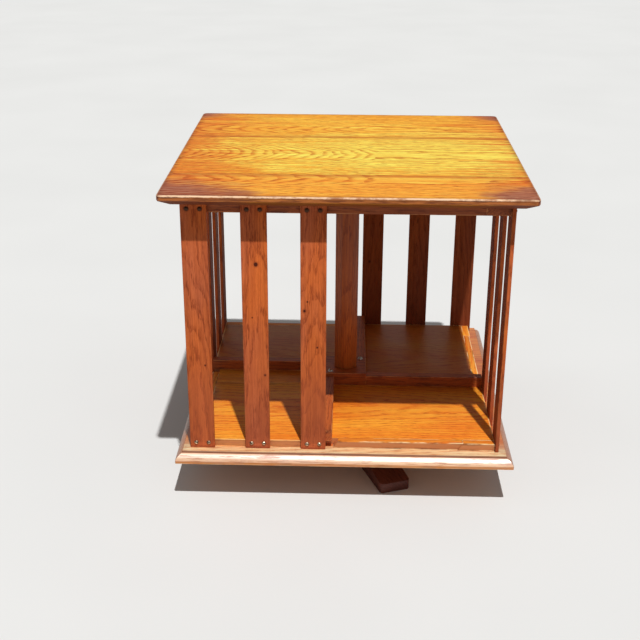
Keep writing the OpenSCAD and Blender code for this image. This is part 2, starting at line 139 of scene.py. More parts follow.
class Recipe:
    def __init__(self, name):
        self.material = bpy.data.materials.new(name)
        self.material.use_nodes = True
        self.tree = self.material.node_tree
        self.tree.nodes.clear()
        place = self.node("ShaderNodeTexCoord", {}, {}, "Object")
        scaled = self.node("ShaderNodeVectorMath", {"operation": "SCALE"}, {"Vector": place, "Scale": metre})
        self.where = [self.node("ShaderNodeSeparateXYZ", {}, {"Vector": scaled}, k) for k in range(3)]

    def node(self, kind, settings, inputs, output=0):
        made = self.tree.nodes.new(kind)
        for key, setting in settings.items():
            setattr(made, key, setting)
        for key, given in inputs.items():
            if isinstance(given, Value):
                self.tree.links.new(given.socket, made.inputs[key])
            else:
                made.inputs[key].default_value = given
        return Value(self, made.outputs[output]) if len(made.outputs) else None

    def sum(self, operation, *terms):
        return self.node("ShaderNodeMath", {"operation": operation}, dict(enumerate(terms)))

    # cloudy noise from 0 to 1, whose patches are about as long as the three sizes given
    def cloud(self, where, seed, sizes, detail=2.0, rough=0.5):
        strides = [seedShift["first"] + seedShift["perAxis"] * k for k in range(3)]
        scaled = [self.sum("MULTIPLY_ADD", w, 1 / size, seed * stride % seedShift["wrap"])
                  for w, size, stride in zip(where, sizes, strides)]
        spot = self.node("ShaderNodeCombineXYZ", {}, dict(enumerate(scaled)))
        inputs = {"Vector": spot, "Scale": 1.0, "Detail": detail, "Roughness": rough}
        return self.node("ShaderNodeTexNoise", {}, inputs)

    def blend(self, first, second, share):
        inputs = {mixShare: share, mixFirst: first, mixSecond: second}
        return self.node("ShaderNodeMix", {"data_type": "RGBA"}, inputs, mixColour)

    def filtered(self, colour, tint):
        settings = {"data_type": "RGBA", "blend_type": "MULTIPLY"}
        inputs = {mixShare: 1.0, mixFirst: colour, mixSecond: tint}
        return self.node("ShaderNodeMix", settings, inputs, mixColour)

    # how far two coordinates lie from a spot
    def away(self, first, second, spot):
        x, y = first - spot[0], second - spot[1]
        return (x * x + y * y).root()

    def surface(self, colour, shine, **fixed):
        inputs = {"Base Color": colour, "Roughness": shine}
        for key, given in fixed.items():
            inputs[key.replace("_", " ")] = given
        return self.node("ShaderNodeBsdfPrincipled", {}, inputs)

    def close(self, surface):
        self.node("ShaderNodeOutputMaterial", {}, {"Surface": surface})
        return self.material

    def finish(self, colour, shine, height, depth, strength, **fixed):
        bump = self.node("ShaderNodeBump", {}, {"Height": height, "Distance": depth, "Strength": strength})
        return self.close(self.surface(colour, shine, Normal=bump, **fixed))


def dress(node, material):
    piece = shown.get(node, frame["nodes"][node])
    piece.data.materials.clear()
    piece.data.materials.append(material)


meshing = {"joinWithin": 0.000002, "flatWithin": 0.5, "smoothBelow": 32}  # metres, degrees, degrees


def pickOnly(piece):
    bpy.ops.object.select_all(action="DESELECT")
    piece.select_set(True)
    bpy.context.view_layer.objects.active = piece


# a copy of a CAD node whose loose triangles are joined into whole faces
def wholeCopy(node):
    pickOnly(frame["nodes"][node])
    bpy.ops.object.duplicate()
    piece = bpy.context.object
    piece.name = "shaped_" + node
    bpy.ops.mesh.customdata_custom_splitnormals_clear()
    bpy.ops.object.mode_set(mode="EDIT")
    bpy.ops.mesh.select_all(action="SELECT")
    bpy.ops.mesh.remove_doubles(threshold=meshing["joinWithin"])
    bpy.ops.mesh.dissolve_limited(angle_limit=math.radians(meshing["flatWithin"]))
    bpy.ops.object.mode_set(mode="OBJECT")
    return piece


def standFor(piece, node):
    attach(piece, bodyOf[node])
    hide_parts(node)
    shown[node] = piece


def applied(piece, kind, **settings):
    pickOnly(piece)
    modifier = piece.modifiers.new("shaping", kind)
    for key, setting in settings.items():
        setattr(modifier, key, setting)
    bpy.ops.object.modifier_apply(modifier="shaping")


def smoothed(piece):
    pickOnly(piece)
    bpy.ops.object.shade_smooth_by_angle(angle=math.radians(meshing["smoothBelow"]))


# the rounding that planing, sanding and handling leave on an arris, in millimetres
rounding = {
    "widths": {
        "slat": 0.5, "top_rail": 0.5, "floor_board": 0.6, "corner_strip": 0.4, "edge_strip": 0.4,
        "centre_post": 0.6, "lower_foot_bar": 1.2, "upper_foot_bar": 1.2, "hub_block": 0.8,
        "upper_pivot_plate": 0.35, "lower_pivot_plate": 0.35, "pivot_bolt": 0.5, "retaining_nut": 0.5,
        "retaining_washer": 0.2, "thrust_washer": 0.2, "pivot_bush": 0.2,
    },
    "segments": 2, "sharperThan": 40,  # only arrises that turn by more degrees than this
}


def roundArrises():
    widths = rounding["widths"]
    for node in frame["nodes"]:
        width = next((widths[start] for start in widths if node.startswith(start)), None)
        if width is None or node.startswith("slat_nails"):
            continue
        piece = wholeCopy(node)
        applied(piece, "BEVEL", width=width / metre, segments=rounding["segments"], limit_method="ANGLE",
                angle_limit=math.radians(rounding["sharperThan"]), use_clamp_overlap=True)
        smoothed(piece)
        standFor(piece, node)
    print("bookcase: arrises rounded")


# each screw's head, as the middle of its outer end, found from the widest ring of its own points
def headsOf(mesh):
    group = list(range(len(mesh.vertices)))

    def leader(k):
        while group[k] != k:
            group[k] = group[group[k]]
            k = group[k]
        return k

    for edge in mesh.edges:
        a, b = edge.vertices
        group[leader(a)] = leader(b)
    screws = {}
    for k, vertex in enumerate(mesh.vertices):
        screws.setdefault(leader(k), []).append(vertex.co.copy())
    heads = []
    for points in screws.values():
        middle = sum(points, Vector()) / len(points)
        widest = max(points, key=lambda point: (point - middle).to_2d().length)
        heights = [point.z for point in points]
        up = widest.z > (min(heights) + max(heights)) / 2
        heads.append(Vector((middle.x, middle.y, max(heights) if up else min(heights))))
    return heads


slots = {
    "width": 1.1, "reach": 9.0,
    "depths": {"post_block_screws": 1.3, "base_screws": 0.9, "top_screws": 0.9, "hub_screws": 0.9,
               "upper_plate_screws": 0.9, "lower_plate_screws": 0.9},
    "turnStart": 20, "turnStep": 47, "turnPerLetter": 31,  # degrees, so that no two slots line up
}


def slotScrews():
    for node, depth in slots["depths"].items():
        piece = wholeCopy(node)
        bpy.ops.object.select_all(action="DESELECT")
        for k, head in enumerate(headsOf(piece.data)):
            turn = slots["turnStep"] * k + slots["turnStart"] + slots["turnPerLetter"] * len(node)
            bpy.ops.mesh.primitive_cube_add(size=1, location=head, rotation=(0, 0, math.radians(turn)))
            cutter = bpy.context.object
            cutter.scale = (slots["reach"] / metre, slots["width"] / metre, 2 * depth / metre)
            cutter.name = "slotCutter"
        cutters = [thing for thing in bpy.data.objects if thing.name.startswith("slotCutter")]
        pickOnly(cutters[0])
        for cutter in cutters:
            cutter.select_set(True)
        if len(cutters) > 1:
            bpy.ops.object.join()
        bpy.ops.object.transform_apply(location=True, rotation=True, scale=True)
        joined = bpy.context.object
        applied(piece, "BOOLEAN", operation="DIFFERENCE", object=joined, solver="EXACT")
        pickOnly(joined)
        bpy.ops.object.delete()
        smoothed(piece)
        standFor(piece, node)
    print("bookcase: screws slotted")


# Noise is given as the sizes of its patches in millimetres (for the grain: along it, across,
# across), then its detail, then its roughness. An edge says from where to where a mask rises.
grainMap = {
    "wander": ((240, 75, 75), 1.5), "wanderBy": 16.0,
    "ripple": ((38, 11, 11), 2.0), "rippleBy": 4.2,
    "uneven": ((16, 900, 900), 1.0), "unevenBy": 2.0,  # rings of uneven width
    "earlyEnd": (0.55, 0.05), "earlyStart": (0.9, 1.0),  # shares of a ring
    "streak": ((95, 3.0, 3.0), 3.0), "streakEdge": (0.40, 0.60),
    "dash": ((12, 1.8, 1.8), 2.0), "dashEdge": (0.46, 0.57),
    "pore": ((6.5, 0.6, 0.6), 1.0), "poreEdge": (0.50, 0.64),
    "patch": ((150, 42, 42), 2.0), "patchEdge": (0.34, 0.66),
    "lengthPower": 0.3,  # how much shorter a finer grain gets along its length
    "openEarly": 0.8, "openLate": 0.2,  # how far early and late wood are open
}

# how much each part of the grain tints the colour, dulls the varnish and deepens the bump
grainShares = {
    "streak": 0.6, "early": 0.4, "earlyStreak": 0.45, "poreInOpen": 0.75, "poreElsewhere": 0.15,
    "openDulls": 0.1, "poreDeep": 0.5, "openDeep": 0.5,
}

# what the grain leaves of the colour under it: streaks, early wood, open pores
grainTints = {
    "golden": [(0.98, 0.62, 0.40, 1), (0.64, 0.29, 0.20, 1), (0.38, 0.16, 0.12, 1)],
    "red": [(0.74, 0.64, 0.62, 1), (0.46, 0.36, 0.40, 1), (0.28, 0.20, 0.24, 1)],
}

varnish = {
    "smear": ((55, 55, 55), 2.0), "smearSeed": 3.3, "smearBy": 0.12,
    "coatRoughness": 0.33, "mirror": 0.35, "grainDepth": 0.00012,
}

oakLooks = {
    "top": {"pale": tone(255, 208, 70), "deep": tone(252, 188, 56), "tints": "golden", "fine": 1.0,
            "ring": 3.6, "figure": 1.2, "dashes": 1.0, "coat": 0.0, "mirror": 0.25, "shine": 0.5,
            "bump": 0.4},
    "slat": {"pale": tone(234, 120, 56), "deep": tone(212, 112, 70), "tints": "red", "fine": 0.4,
             "ring": 2.0, "figure": 0.55, "dashes": 0.75, "coat": 0.0, "mirror": 0.06, "shine": 0.45,
             "bump": 0.4},
    # the rails' tones are darker than the slats': painted shade under the top
    "rail": {"pale": tone(184, 94, 40), "deep": tone(160, 78, 34), "tints": "red", "fine": 0.7,
             "ring": 2.8, "figure": 0.6, "dashes": 0.7, "coat": 0.0, "shine": 0.5, "bump": 0.4},
    "floor": {"pale": tone(255, 178, 54), "deep": tone(244, 150, 44), "tints": "golden", "fine": 0.6,
              "ring": 3.0, "figure": 0.7, "dashes": 0.8, "coat": 0.1, "shine": 0.42, "bump": 0.4},
    "edging": {"pale": tone(250, 170, 58), "deep": tone(236, 142, 46), "tints": "golden", "fine": 0.7,
               "ring": 2.6, "figure": 0.8, "dashes": 0.6, "coat": 0.1, "shine": 0.45, "bump": 0.4},
    "base": {"pale": tone(244, 158, 64), "deep": tone(222, 128, 50), "tints": "golden", "fine": 0.7,
             "ring": 3.0, "figure": 0.8, "dashes": 0.8, "coat": 1.0, "mirror": 0.5, "shine": 0.34,
             "bump": 0.25},
    "stop": {"pale": tone(206, 104, 46), "deep": tone(186, 90, 38), "tints": "red", "fine": 0.7,
             "ring": 2.6, "figure": 0.5, "dashes": 0.6, "coat": 0.1, "shine": 0.4, "bump": 0.4},
    "post": {"pale": tone(206, 110, 44), "deep": tone(184, 94, 38), "tints": "red", "fine": 0.6,
             "ring": 2.4, "figure": 0.5, "dashes": 0.6, "coat": 0.2, "shine": 0.38, "bump": 0.4},
    "foot": {"pale": tone(124, 68, 54), "deep": tone(108, 56, 44), "tints": "red", "fine": 0.7,
             "ring": 2.6, "figure": 0.5, "dashes": 0.5, "coat": 0.1, "shine": 0.5, "bump": 0.4},
}


# Oak as it lies in the log. Growth rings run round a pith line along the grain; in each ring the
# early wood is crowded with open pores, which show as short dark dashes. pith says how far the
# pith line lies from the piece's middle along the two axes across the grain, turn swings the
# grain round the Z axis, and taper is how fast the rings widen along the log, up to taperEnd.
class Oak:
    def __init__(self, name, look, grain, middle, pith, seed, taper=0.03, turn=0.0, taperEnd=None):
        self.recipe = recipe = Recipe(name)
        self.look = look
        self.seed = seed
        self.where = recipe.where
        moved = [w - m * metre for w, m in zip(self.where, middle)]
        if turn:
            cosine, sine = math.cos(turn), math.sin(turn)
            moved = [moved[0] * cosine + moved[1] * sine, moved[1] * cosine - moved[0] * sine, moved[2]]
        across = [moved[k] for k in range(3) if k != grain]
        self.log = log = [moved[grain], *across]
        wander = self.cloud("wander", 0) - 0.5
        ripple = self.cloud("ripple", 1) - 0.5
        along = log[0] if taperEnd is None else log[0].least(taperEnd)
        radius = (recipe.away(*across, pith) + along * taper
                  + wander * grainMap["wanderBy"] + ripple * grainMap["rippleBy"])
        width = recipe.cloud([radius, log[0], log[0]], seed + 2, *grainMap["uneven"])
        phase = (radius / look["ring"] + width * grainMap["unevenBy"]).fraction()
        self.early = phase.step(*grainMap["earlyEnd"]).most(phase.step(*grainMap["earlyStart"]))
        fine = look["fine"]
        self.streak = self.cloud("streak", 3, fine).step(*grainMap["streakEdge"])
        self.dash = self.cloud("dash", 4, fine).step(*grainMap["dashEdge"])
        self.pore = self.cloud("pore", 5, fine).step(*grainMap["poreEdge"])
        self.patch = self.cloud("patch", 6).step(*grainMap["patchEdge"])
        self.open = self.dash * (self.early * grainMap["openEarly"] + grainMap["openLate"])
        self.colour = recipe.blend(look["pale"], look["deep"], self.patch)
        self.height = 1 - self.pore * grainShares["poreDeep"] - self.open * grainShares["openDeep"]
        self.shine = self.open * grainShares["openDulls"] + look["shine"]

    def cloud(self, name, seed, fine=1.0):
        (along, *across), detail = grainMap[name]
        sizes = (along * fine ** grainMap["lengthPower"], *(size * fine for size in across))
        return self.recipe.cloud(self.log, self.seed + seed, sizes, detail)

    def paint(self, colour, share):
        self.colour = self.recipe.blend(self.colour, colour, share)

    # paint that also dulls the varnish
    def rub(self, colour, share, dulling=0.2):
        self.paint(colour, share)
        self.shine = self.shine + share * dulling

    def layGrain(self):
        recipe, look, shares = self.recipe, self.look, grainShares
        streaked, early, pores = grainTints[look["tints"]]
        figure, dashes = look["figure"], look["dashes"]
        tint = recipe.blend((1, 1, 1, 1), streaked,
                            self.streak * shares["streak"] + self.early * shares["early"] * figure)
        tint = recipe.blend(tint, early, (self.open * dashes).most(
            self.early * self.streak * shares["earlyStreak"] * figure))
        tint = recipe.blend(tint, pores,
                            self.pore * (self.open * shares["poreInOpen"] + shares["poreElsewhere"]) * dashes)
        self.colour = recipe.filtered(self.colour, tint)

    def finish(self, **fixed):
        look = self.look
        smear = self.recipe.cloud(self.where, varnish["smearSeed"], *varnish["smear"])
        settings = {"Coat_Weight": look["coat"], "Coat_Roughness": varnish["coatRoughness"],
                    "Specular_IOR_Level": look.get("mirror", varnish["mirror"]), **fixed}
        return self.recipe.finish(self.colour, self.shine + (smear - 0.5) * varnish["smearBy"], self.height,
                                  varnish["grainDepth"], look["bump"], **settings)


# how far inside a box's nearest arris a point lies
def insideArris(oak, low, high):
    inside = []
    for k in range(3):
        middle, half = (low[k] + high[k]) * metre / 2, (high[k] - low[k]) * metre / 2
        inside.append(half - abs(oak.where[k] - middle))
    a, b, c = inside
    return a.least(b).most(a.most(b).least(c))


wearMap = {
    "rubbed": ((24, 5, 5), 3.0, 0.65), "rubbedEdge": (0.44, 0.60), "rubbedFrom": (1.0, 0.3),
    "rubbedDulls": 0.25, "dirty": ((26, 26, 26), 3.0, 0.6), "dirtyEdge": (0.46, 0.70),
}


# arrises rubbed pale in places, with old dirt beside them
def wearArrises(oak, low, high, wear):
    recipe, seed = oak.recipe, oak.seed
    edge = insideArris(oak, low, high)
    rubbed = recipe.cloud(oak.log, seed + 8, *wearMap["rubbed"]).step(*wearMap["rubbedEdge"])
    dirty = recipe.cloud(oak.where, seed + 9, *wearMap["dirty"]).step(*wearMap["dirtyEdge"])
    oak.rub(wear["grime"], (edge / wear["grimeWidth"]).step(1.0, 0.0) * dirty * wear["grimeAmount"])
    oak.rub(wear["worn"], (edge / wear["width"]).step(*wearMap["rubbedFrom"]) * rubbed * wear["amount"],
            wearMap["rubbedDulls"])


plainWear = {"worn": tone(226, 150, 92), "width": 1.1, "amount": 0.7,
             "grime": tone(64, 26, 16), "grimeWidth": 7.0, "grimeAmount": 0.5}


def boxOf(node):
    low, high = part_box(node)
    return low, high, (low + high) / 2


# The top: three planks, golden in the middle, browner at the ends and purplish brown in the
# corners. fray is how far the uneven noise moves a mask's edge, and streaky how far the grain does.
topLook = {
    "planks": {
        "front": {"pith": (26, -46), "taper": 0.16, "seed": 11.0, "tan": 0.65,
                  "tanTone": tone(255, 184, 66)},
        "middle": {"pith": (6, -40), "taper": 0.28, "seed": 17.0, "tan": 0.0,
                   "tanTone": tone(240, 150, 40)},
        "back": {"pith": (-20, -42), "taper": -0.16, "seed": 23.0, "tan": 0.35,
                 "tanTone": tone(255, 200, 66)},
    },
    "taperEnd": 30,
    "uneven": ((60, 26, 34), 3.0, 0.6),
    "gold": {"tone": tone(255, 240, 100), "spot": (48, -6), "reach": 128, "squash": 0.6, "fray": 1.2,
             "streaky": 0.35, "edge": (1.05, 0.35), "tanHides": 0.65},
    "end": {"tone": tone(232, 134, 46), "middle": 12, "fray": 110, "streaky": 50, "edge": (80, 200),
            "share": 0.75},
    "band": {"tone": tone(255, 222, 84), "fray": 8, "edge": (13, 7.8), "share": 0.8},
    "beside": {"tone": tone(190, 100, 34), "fray": 14, "edge": (13, 4), "share": 0.55},
    "corner": {"tone": tone(166, 110, 92), "squash": 0.8, "fray": 1.5, "edge": (1.0, 0.3), "share": 0.92,
               "reaches": [((-1, -1), 82), ((1, -1), 64), ((-1, 1), 40), ((1, 1), 40)]},
    "rim": {"tone": tone(120, 66, 46), "fray": 9, "edge": (8, 0), "streaked": 0.6, "share": 0.15},
    "dulling": 0.1,
    "joint": {"tone": tone(112, 50, 20), "edge": (0.8, 0.3), "patched": 0.4, "share": 0.15},
    "face": {"tone": tone(206, 122, 62), "edge": (1.3, 0.5), "share": 0.85,
             "stain": ((30, 2.4, 2.4), 3.0, 0.6), "stainEdge": (0.42, 0.62), "stainShare": 0.75},
    # painted shade on the underbevel of the top
    "under": {"tone": tone(120, 56, 26), "edge": (6.2, 7.2), "share": 0.85},
    # the upper arris, bruised and worn pale, its pale line partly a painted highlight, most at the front and
    # the back
    "arris": {"pale": tone(250, 210, 172), "dark": tone(96, 44, 28), "wide": 1.7, "deep": 1.5,
              "ragged": ((6, 6, 1.6), 4.0, 0.7), "raggedBy": 1.3,
              "broken": ((22, 22, 22), 4.0, 0.65), "brokenEdge": (0.36, 0.56),
              "turn": (-6, 2), "frontShare": 0.75, "sideShare": 0.25,
              "darkEdge": (2.0, 1.35), "darkShare": 0.4,
              "paleEdge": (1.15, 0.75), "brokenShare": 0.75, "paleShare": 0.2,
              "dentEdge": (1.0, 0.5), "dentDeep": 0.8},
}
topHalf = cadHigh[0] * metre
topHeight = cadHigh[2] * metre


def colourPlank(oak, part, uneven, low, high):
    look, plank = topLook, topLook["planks"][part]
    gold, end, band, beside = look["gold"], look["end"], look["band"], look["beside"]
    corner, rim = look["corner"], look["rim"]
    recipe, (x, y, _) = oak.recipe, oak.where
    streaky = oak.streak - 0.5
    spotX, spotY = gold["spot"]
    golden = (recipe.away(x * gold["squash"], y, (spotX * gold["squash"], spotY)) / gold["reach"]
              + uneven * gold["fray"] + streaky * gold["streaky"]).step(*gold["edge"])
    oak.paint(plank["tanTone"], plank["tan"])
    ends = (abs(x - end["middle"]) + uneven * end["fray"] + streaky * end["streaky"]).step(*end["edge"])
    oak.paint(end["tone"], ends * end["share"])
    oak.paint(gold["tone"], golden * (1 - plank["tan"] * gold["tanHides"]))
    if part == "middle":
        banded = (high[1] * metre - y + uneven * band["fray"]).step(*band["edge"])
        oak.paint(band["tone"], banded * (1 - ends) * band["share"])
    else:
        seam = low[1] * metre if part == "back" else high[1] * metre
        nearSeam = (abs(y - seam) + uneven * beside["fray"]).step(*beside["edge"])
        oak.paint(beside["tone"], nearSeam * beside["share"])
    for (signX, signY), reach in corner["reaches"]:
        spot = (signX * topHalf * corner["squash"], signY * topHalf)
        near = recipe.away(x * corner["squash"], y, spot) / reach + uneven * corner["fray"]
        oak.rub(corner["tone"], near.step(*corner["edge"]) * corner["share"], look["dulling"])
    inset = topHalf - abs(x).most(abs(y))
    oak.rub(rim["tone"], (inset + uneven * rim["fray"]).step(*rim["edge"])
            * (oak.streak * rim["streaked"] + rim["share"]), look["dulling"])


def wearPlank(oak, low, high):
    joint, face, under, arris = topLook["joint"], topLook["face"], topLook["under"], topLook["arris"]
    recipe, seed, (x, y, z) = oak.recipe, oak.seed, oak.where
    seams = [edge * metre for edge in (low[1], high[1]) if abs(edge) * metre < topHalf - 1]
    for seam in seams:
        onSeam = abs(y - seam).step(*joint["edge"])
        oak.paint(joint["tone"], onSeam * (oak.patch * joint["patched"] + joint["share"]))
    inset = topHalf - abs(x).most(abs(y))
    down = topHeight - z
    onFace = inset.step(*face["edge"])
    stain = recipe.cloud(oak.log, seed + 44, *face["stain"]).step(*face["stainEdge"])
    oak.paint(face["tone"], onFace * face["share"])
    oak.paint(arris["dark"], onFace * stain * face["stainShare"])
    # painted shade: darker towards the underside of the top
    oak.paint(under["tone"], down.step(*under["edge"]) * under["share"])
    ragged = recipe.cloud(oak.where, seed + 41, *arris["ragged"]) - 0.5
    broken = recipe.cloud(oak.where, seed + 42, *arris["broken"]).step(*arris["brokenEdge"])
    frontOrBack = (abs(y) - abs(x)).step(*arris["turn"]) * arris["frontShare"] + arris["sideShare"]
    reach = (inset / arris["wide"]).most(down / arris["deep"]) + ragged * arris["raggedBy"]
    oak.rub(arris["dark"], reach.step(*arris["darkEdge"]) * arris["darkShare"] * frontOrBack)
    # pale along the arris: wear together with a painted highlight
    oak.rub(arris["pale"], reach.step(*arris["paleEdge"])
            * (broken * arris["brokenShare"] + arris["paleShare"]) * frontOrBack)
    oak.height = oak.height - reach.step(*arris["dentEdge"]) * arris["dentDeep"]


def dressTop():
    for part, plank in topLook["planks"].items():
        node = "top_board_" + part
        low, high, middle = boxOf(node)
        oak = Oak(node, oakLooks["top"], axisX, middle, plank["pith"], plank["seed"], plank["taper"],
                  taperEnd=topLook["taperEnd"])
        uneven = oak.recipe.cloud(oak.where, oak.seed + 40, *topLook["uneven"]) - 0.5
        colourPlank(oak, part, uneven, low, high)
        oak.layGrain()
        wearPlank(oak, low, high)
        dress(node, oak.finish())
    print("bookcase: top dressed")


# The base: a flat ledge, paler in front from wear and painted sunlight, a groove with painted shade, and a
# moulded slope whose varnish glares, with painted glare on it and painted shade on its left and right sides
baseLook = {
    "seed": 31.0, "seedStep": 5, "pith": (-15, -70), "pithStep": 20,
    "patchy": ((46, 46, 46), 3.0, 0.6),
    "ledge": {"tone": tone(255, 244, 196), "thick": (0.6, 0.2), "inset": (24, 18), "front": (-140, -160),
              "patched": 0.4, "share": 0.6},
    # painted glare: the moulded slope is paled
    "slopeGlare": {"tone": tone(255, 224, 184), "above": (2.4, 3.4), "patched": 0.4, "share": 0.35},
    # painted shade on the left and right sides
    "side": {"tone": tone(168, 92, 48), "turn": (-1, 2), "ledgeHides": 0.6, "share": 0.7},
    "fleck": {"tone": tone(170, 98, 66), "noise": ((26, 1.3, 1.3), 4.0, 0.7), "edge": (0.50, 0.60),
              "share": 0.7},
    "groove": {"tone": tone(140, 78, 52), "inset": 7.1, "edge": (0.9, 0.3), "below": (0.3, 0.9),
               "share": 0.8},
    "lower": {"tone": tone(238, 150, 56), "edge": (3.2, 2.4), "share": 0.6},
    "wear": {"worn": tone(250, 202, 142), "width": 1.0, "amount": 0.6,
             "grime": tone(84, 38, 22), "grimeWidth": 5.0, "grimeAmount": 0.3},
    "matt": 0.85, "coatIndex": 2.2,
}


def dressBase():
    look = baseLook
    ledge, slopeGlare, side = look["ledge"], look["slopeGlare"], look["side"]
    fleck, groove, lower = look["fleck"], look["groove"], look["lower"]
    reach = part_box("base_board_middle")[1][0]
    for k, part in enumerate(["front", "middle", "back"]):
        node = "base_board_" + part
        low, high, middle = boxOf(node)
        half, top, bottom = reach * metre, high[2] * metre, low[2] * metre
        pith = (look["pithStep"] * k + look["pith"][0], look["pith"][1])
        oak = Oak(node, oakLooks["base"], axisX, middle, pith, look["seed"] + look["seedStep"] * k)
        recipe, (x, y, z) = oak.recipe, oak.where
        inset = half - abs(x).most(abs(y))
        patchy = recipe.cloud(oak.where, look["seed"] + 20, *look["patchy"])
        onLedge = z.step(*(top - depth for depth in ledge["thick"]))
        # paler along the front ledge: wear together with painted sunlight
        oak.paint(ledge["tone"], onLedge * inset.step(*ledge["inset"])
                  * (patchy * ledge["patched"] + ledge["share"]) * y.step(*ledge["front"]))
        oak.layGrain()
        # painted glare: the moulded slope is paled so that it reads as glaring varnish
        onSlope = (z - bottom).step(*slopeGlare["above"]) * (1 - onLedge)
        oak.paint(slopeGlare["tone"], onSlope * (patchy * slopeGlare["patched"] + slopeGlare["share"]))
        # painted shade: the left and right sides are browner, without the painted glare
        oak.paint(side["tone"], (abs(x) - abs(y)).step(*side["turn"])
                  * (1 - onLedge * side["ledgeHides"]) * side["share"])
        flecks = recipe.cloud(oak.log, look["seed"] + 24 + k, *fleck["noise"]).step(*fleck["edge"])
        flecked = flecks * (1 - onLedge)
        oak.paint(fleck["tone"], flecked * fleck["share"])
        # painted shade: a dark line down the step below the ledge
        line = abs(inset - groove["inset"]).step(*groove["edge"]) * (top - z).step(*groove["below"])
        oak.paint(groove["tone"], line * groove["share"])
        oak.paint(lower["tone"], (z - bottom).step(*lower["edge"]) * lower["share"])
        wearArrises(oak, (-reach, -reach, low[2]), (reach, reach, high[2]), look["wear"])
        gloss = oak.look["coat"] - flecked.most(line) * look["matt"]
        dress(node, oak.finish(Coat_Weight=gloss, Coat_IOR=look["coatIndex"]))
    print("bookcase: base dressed")


def woodenPiece(node, lookName, grain, pith, seed, wear=plainWear, taper=0.03, turn=0.0, extra=None):
    low, high, middle = boxOf(node)
    oak = Oak(node, oakLooks[lookName], grain, middle, pith, seed, taper, turn)
    oak.layGrain()
    if extra:
        extra(oak, low, high)
    wearArrises(oak, low, high, wear)
    dress(node, oak.finish())


slatLook = {
    "pith": (-20, 60), "pithStep": (9, -14), "seed": 101.0, "seedStep": (3, 13),  # by slat, by side
    "nails": {"across": 6.5, "up": (5.8, 263.5), "stain": tone(58, 24, 18), "reach": 3.8, "edge": (1.0, 0.5),
              "share": 0.45},
    # a dark band at the very foot: dirt together with painted contact shade
    "foot": {"tone": tone(66, 24, 18), "edge": (3.4, 0.4), "share": 0.6},
    "low": {"tone": tone(192, 100, 68), "fray": 60, "edge": (110, 20), "share": 0.5, "dulling": 0.1},
    # painted shade on the inner faces, which lie in the shade of the top
    "inside": {"tone": tone(62, 28, 16), "behind": (0.9, 0.1), "share": 0.6},
    "knot": {"tone": tone(56, 22, 22), "ring": tone(120, 50, 26), "squash": 0.85, "ringEdge": (2.2, 1.0),
             "ringShare": 0.4, "fray": 0.4, "edge": (1.1, 0.6), "share": 0.9},
    "wear": {"worn": tone(228, 138, 84), "width": 0.9, "amount": 0.55,
             "grime": tone(96, 36, 26), "grimeWidth": 5.0, "grimeAmount": 0.35},
    # knots and dents: how far across and up each slat, and how wide
    "knots": {
        "front_1": [(6, 96, 0.8)], "front_2": [(1.5, 207, 1.9), (9, 86, 1.1), (-3, 150, 0.6)],
        "front_3": [(-9, 158, 1.5), (-6, 168, 0.8), (4, 118, 0.8)],
        "right_2": [(3, 120, 1.5)], "right_3": [(-5, 60, 1.1)], "back_1": [(4, 180, 1.6)],
        "back_3": [(-4, 96, 1.3)], "left_1": [(2, 140, 1.6)], "left_2": [(-6, 210, 1.1)],
    },
}


# what each slat has besides its grain: rings of stain at the nails, knots, a faded foot, a dark band at the
# very foot that is dirt and painted contact shade, and painted shade on its inner face
def slatMarks(name, acrossAxis, boardHalf):
    nails, foot, lowPart = slatLook["nails"], slatLook["foot"], slatLook["low"]
    inside, knot = slatLook["inside"], slatLook["knot"]

    def marks(oak, low, high):
        across = oak.where[acrossAxis] - (low[acrossAxis] + high[acrossAxis]) * metre / 2
        up = oak.where[axisZ] - low[2] * metre
        beside = abs(abs(across) - nails["across"])
        above = abs(up - nails["up"][0]).least(abs(up - nails["up"][1]))
        ring = oak.recipe.away(beside, above, (0, 0)) / nails["reach"]
        oak.paint(nails["stain"], ring.step(*nails["edge"]) * nails["share"])
        # dirt with painted contact shade along the foot
        oak.paint(foot["tone"], up.step(*foot["edge"]) * foot["share"])
        for knotX, knotZ, size in slatLook["knots"].get(name, []):
            spot = oak.recipe.away(across, up * knot["squash"], (knotX, knotZ * knot["squash"])) / size
            oak.paint(knot["ring"], spot.step(*knot["ringEdge"]) * knot["ringShare"])
            core = (spot + (oak.patch - 0.5) * knot["fray"]).step(*knot["edge"])
            oak.paint(knot["tone"], core * knot["share"])
        faded = (up + (oak.patch - 0.5) * lowPart["fray"]).step(*lowPart["edge"])
        oak.rub(lowPart["tone"], faded * lowPart["share"], lowPart["dulling"])
        # painted shade: the inner face, turned in under the top, is darkened and its varnish dulled
        outward = abs(oak.where[1 - acrossAxis])
        behind = outward.step(*(boardHalf + depth for depth in inside["behind"]))
        oak.rub(inside["tone"], behind * inside["share"])

    return marks


def dressSlats():
    look = slatLook
    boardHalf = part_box("floor_board_back")[1][0] * metre
    for s, side in enumerate(sides):
        acrossAxis = axisX if side in ("front", "back") else axisY
        for k in range(1, 4):
            name = f"{side}_{k}"
            pith = (look["pith"][0] + look["pithStep"][0] * k, look["pith"][1] + look["pithStep"][1] * s)
            seed = look["seed"] + look["seedStep"][1] * s + look["seedStep"][0] * k
            woodenPiece("slat_" + name, "slat", axisZ, pith, seed, look["wear"],
                        extra=slatMarks(name, acrossAxis, boardHalf))
    print("bookcase: slats dressed")


